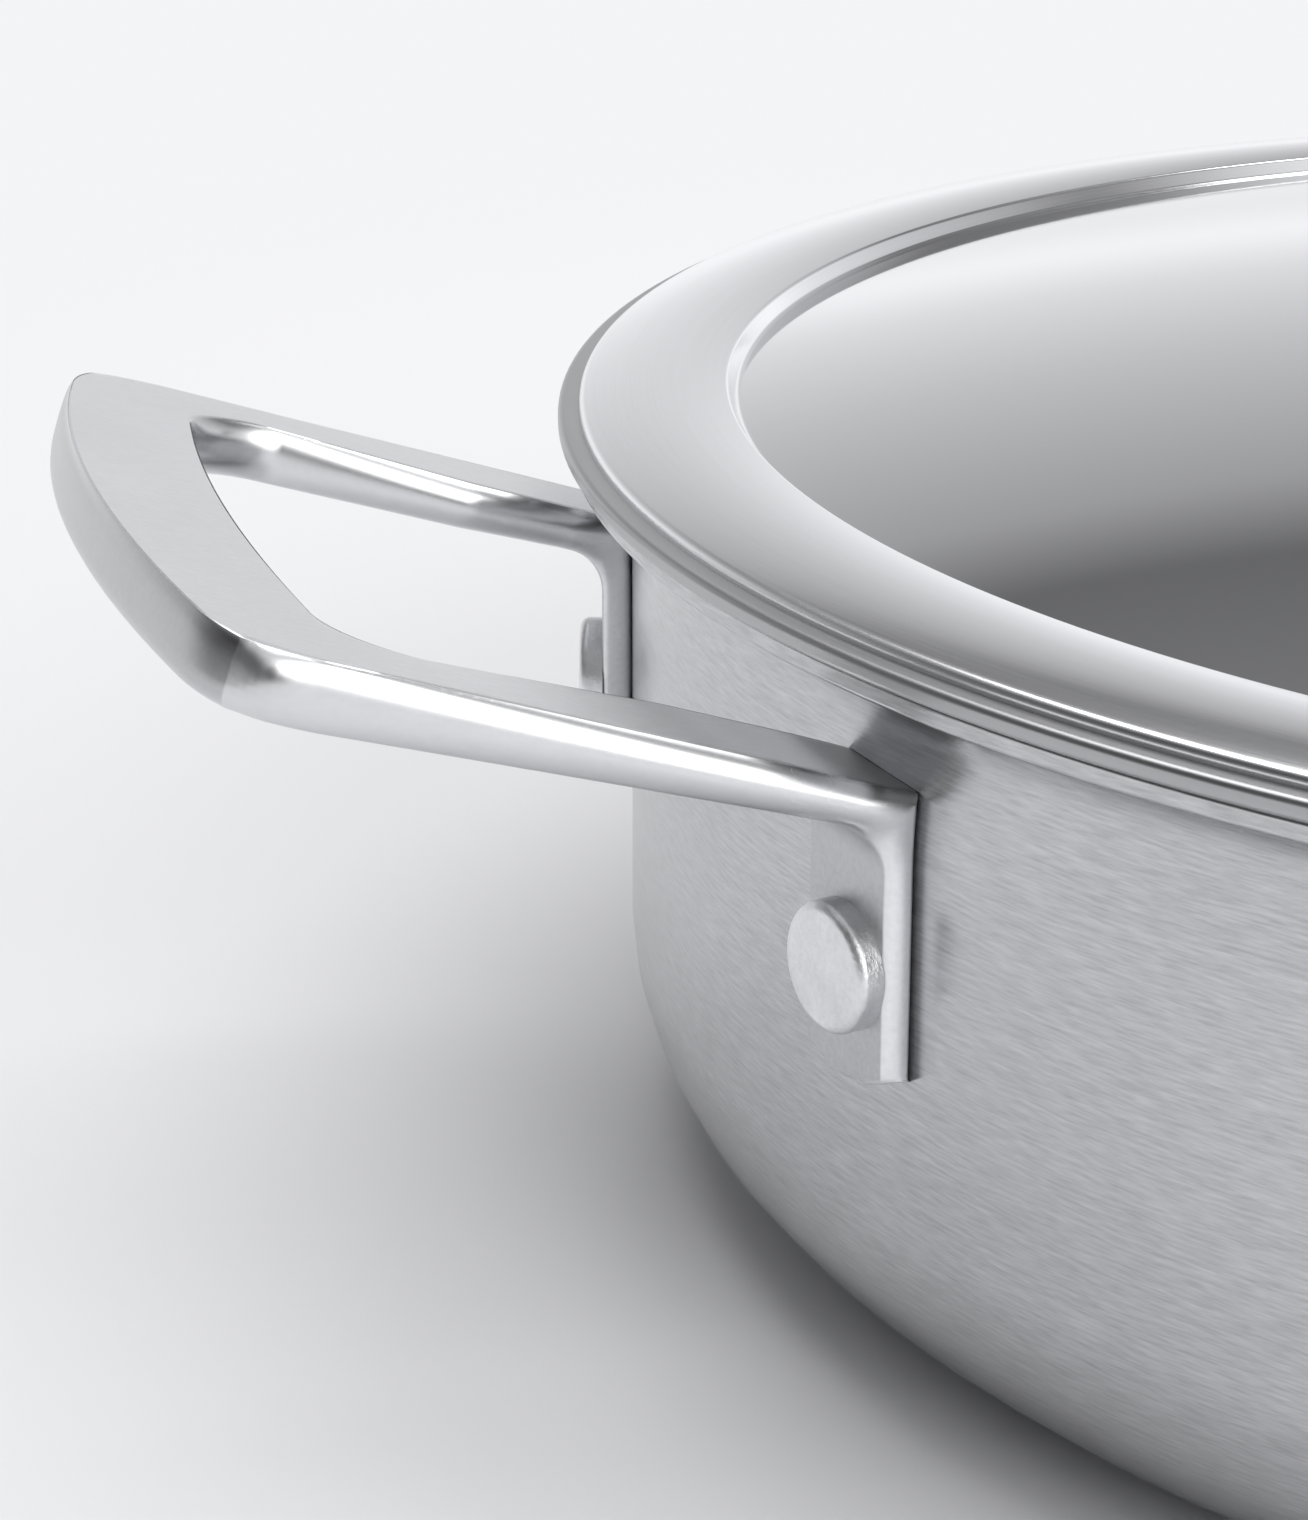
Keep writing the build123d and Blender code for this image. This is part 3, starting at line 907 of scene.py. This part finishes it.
def side_handle(name, outward):
    """Cast loop handle; outward is 1 for the handle at +x and -1 for the one at -x."""
    half = half_handle()
    other = [[Vector((spot.x, -spot.y, spot.z)) for spot in ring] for ring in half]
    rings = other[:0:-1] + half
    count = len(rings[0])
    points = [(outward * spot.x, outward * spot.y, spot.z) for ring in rings for spot in ring]
    faces = [list(range(count)), list(range(len(points) - count, len(points)))]
    for row in range(len(rings) - 1):
        here, there = row * count, (row + 1) * count
        for i in range(count):
            j = (i + 1) % count
            faces.append([here + i, here + j, there + j, there + i])
    mesh = bpy.data.meshes.new(name)
    mesh.from_pydata(points, [], faces)
    return finished_piece(name, mesh, CAST_SHARP)


def rivet_set(name, seats, grip, tree, finish):
    """All the rivets of one body as one piece."""
    line = bpy.data.objects.new(name + "_line", corner_line(name + "_line", rivet_profile(grip)))
    bpy.context.scene.collection.objects.link(line)
    inputs = {**turned_inputs(finish), "Steps round": steps_round_rivet, "Rivet": line}
    piece = baked(name, seat_mesh(name + "_seats", seats), tree, inputs)
    bpy.data.objects.remove(line)
    return piece


def stand_for(piece, body, slot, *nodes):
    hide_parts(*nodes)
    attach(piece, body)


def dress_object():
    """All pieces of the pan and the lid."""
    turning = turning_tree()
    riveting = riveting_tree(turning)
    pan_finish = brushed_pan_steel()
    cover_finish = lid_steel()
    ring_finish = lid_ring_steel()
    cast_finish = satin_cast_steel()
    rivet_finish = blasted_rivet_steel()
    for name, profile, finish, body, slot, node in (
        ("pan", pan_profile(), pan_finish, "pan", "brushed_pan_steel", "pan_body"),
        ("cover", cover_profile(), cover_finish, "lid", "lid_steel", "lid_cover"),
        ("ring", ring_profile(), ring_finish, "lid", "lid_ring_steel", "lid_ring"),
    ):
        line = corner_line(name + "_line", profile)
        stand_for(baked(name, line, turning, turned_inputs(finish)), body, slot, node)
    wall_grip = foot_thickness + pan_sheet
    wall_rivets = rivet_set("wall_rivets", wall_seats(), wall_grip, riveting, rivet_finish)
    stand_for(
        wall_rivets,
        "pan",
        "blasted_rivet_steel",
        "left_front_rivet",
        "left_rear_rivet",
        "right_front_rivet",
        "right_rear_rivet",
    )
    lid_grip = lid_foot_thickness + cover_sheet
    cover_rivets = rivet_set("cover_rivets", lid_seats(), lid_grip, riveting, rivet_finish)
    stand_for(cover_rivets, "lid", "blasted_rivet_steel", "lid_left_rivet", "lid_right_rivet")
    for name, outward in (("left_handle", -1), ("right_handle", 1)):
        handle = side_handle(name.replace("handle", "loop"), outward)
        handle.data.materials.append(cast_finish)
        stand_for(handle, "pan", "satin_cast_steel", name)
    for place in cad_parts["lid_handle"].material_slots:
        place.material = cast_finish


# Camera, lights and floor
camera_place = (-250.71 * MM, -352.79 * MM, 187.3 * MM)
camera_turn = radians(-15.42)
camera_drop = radians(19.83)
photo_height = 1520
focal_pixels = 3851
sensor = 36.0
near_limit = 0.01
backdrop_tone = (0.905, 0.908, 0.922)
floor_tone = (0.83, 0.832, 0.85)
floor_radius = 5.0
# The floor turns from lit paper into plain backdrop between these distances
fade_start, fade_end = 0.24, 0.6
# Level of the studio behind the object, by degrees above the horizon
studio_strength = 1.15
studio_levels = [
    (-20, 0.8),
    (0, 0.95),
    (5, 0.93),
    (10, 0.72),
    (17, 0.54),
    (26, 0.35),
    (30, 0.14),
    (60, 0.3),
]
studio_coolness = 1.02
# In front the studio has one level; directions are turned from +y towards +x
front_level = 0.75
dark_side = radians(-105)
dark_side_depth = 0.85
# A dark gap in the white in front, and how high reflections see white paper all round
gap_side = radians(-172)
gap_height = radians(14)
gap_width = radians(21)
gap_depth = 0.9
gap_core = 0.7
paper_height = sin(radians(8))
# Place, aim, size and radiance of each lamp
OVERHEAD_LAMP = ((0.1, 0.35, 1.45), (0.0, 0.0, 0.0), 1.7, 2.6)
FRONT_LAMP = ((0.5, -1.4, 0.8), (0.0, 0.0, 0.1), 1.5, 2.7)


def add_camera():
    data = bpy.data.cameras.new("camera")
    data.sensor_width = sensor
    data.lens = sensor * focal_pixels / photo_height
    data.clip_start = near_limit
    camera = bpy.data.objects.new("camera", data)
    camera.location = camera_place
    camera.rotation_euler = (pi / 2 - camera_drop, 0.0, camera_turn)
    bpy.context.scene.collection.objects.link(camera)
    bpy.context.scene.camera = camera


def add_world():
    """Graded white behind the object, dark at its left, with a gap in front.

    The camera sees plain pale paper everywhere, and reflections see it near the horizon.
    """
    world = bpy.data.worlds.new("studio")
    bpy.context.scene.world = world
    world.use_nodes = True
    world.node_tree.nodes.clear()
    graph = Graph(world.node_tree)
    way = graph.node("ShaderNodeTexCoord", None, None, "Generated")
    split = graph.node("ShaderNodeSeparateXYZ", None, {0: way})
    x, y, z = (Signal(graph, split.socket.node.outputs[axis]) for axis in range(3))
    stops = []
    for angle, level in studio_levels:
        place = 0.5 + sin(radians(angle)) / 2
        stops.append((place, (level, level, level * studio_coolness)))
    sky = graph.node("ShaderNodeValToRGB", {"stops": stops}, {0: z * 0.5 + 0.5})
    front_tone = (front_level, front_level, front_level, 1.0)
    sky = graph.blend(graph.step(y * -1.0, 0.1, 0.6), sky, front_tone)
    towards_dark = x * sin(dark_side) + y * cos(dark_side)
    shade = graph.step(towards_dark, 0.2, 0.8) * dark_side_depth
    level_part = x * sin(gap_side) + y * cos(gap_side)
    towards_gap = level_part * cos(gap_height) + z * sin(gap_height)
    gap = graph.step(towards_gap, cos(gap_width), cos(gap_width * gap_core)) * gap_depth
    path = graph.node("ShaderNodeLightPath").socket.node.outputs
    camera_ray = Signal(graph, path["Is Camera Ray"])
    glossy_ray = Signal(graph, path["Is Glossy Ray"])
    through_ray = Signal(graph, path["Is Transmission Ray"])
    low = 1.0 - graph.step(z, 0.0, paper_height)
    paper = glossy_ray * low * (1.0 - gap) * (1.0 - shade)
    seen = (camera_ray + through_ray + paper).clamped()
    tone = graph.blend(seen, sky, (*backdrop_tone, 1.0))
    around = (1.0 - shade) * (1.0 - gap) * studio_strength
    strength = seen + (1.0 - seen) * around
    shader = graph.node("ShaderNodeBackground", None, {"Color": tone, "Strength": strength})
    graph.node("ShaderNodeOutputWorld", None, {"Surface": shader})


def add_lamp(name, place, aim, size, radiance):
    """Round soft box of a plain brightness, where 1 is white."""
    data = bpy.data.lights.new(name, "AREA")
    data.shape = "DISK"
    data.size = size
    data.energy = radiance * pi * pi * size**2 / 4
    lamp = bpy.data.objects.new(name, data)
    lamp.location = place
    lamp.rotation_euler = (Vector(aim) - Vector(place)).to_track_quat("-Z", "Y").to_euler()
    bpy.context.scene.collection.objects.link(lamp)


def add_floor():
    """Pale table top that fades into the backdrop far away."""
    work = bmesh.new()
    bmesh.ops.create_circle(work, cap_ends=True, radius=floor_radius, segments=96)
    mesh = bpy.data.meshes.new("floor")
    work.to_mesh(mesh)
    work.free()
    floor = bpy.data.objects.new("floor", mesh)
    bpy.context.scene.collection.objects.link(floor)
    material, graph = new_finish("pale_table")
    _, (x, y, _) = graph.object_place()
    distance = (x * x + y * y) ** 0.5
    far = graph.step(distance, fade_start, fade_end)
    lit = {"Base Color": (*floor_tone, 1.0), "Roughness": 0.7}
    paper = graph.node("ShaderNodeBsdfPrincipled", None, lit)
    plain = {"Color": (*backdrop_tone, 1.0), "Strength": 1.0}
    glow = graph.node("ShaderNodeEmission", None, plain)
    surface = graph.node("ShaderNodeMixShader", None, {0: far, 1: paper, 2: glow})
    graph.node("ShaderNodeOutputMaterial", None, {"Surface": surface})
    mesh.materials.append(material)


dress_object()
add_camera()
add_world()
add_lamp("overhead", *OVERHEAD_LAMP)
add_lamp("front", *FRONT_LAMP)
add_floor()
bpy.context.scene.view_settings.view_transform = "Standard"
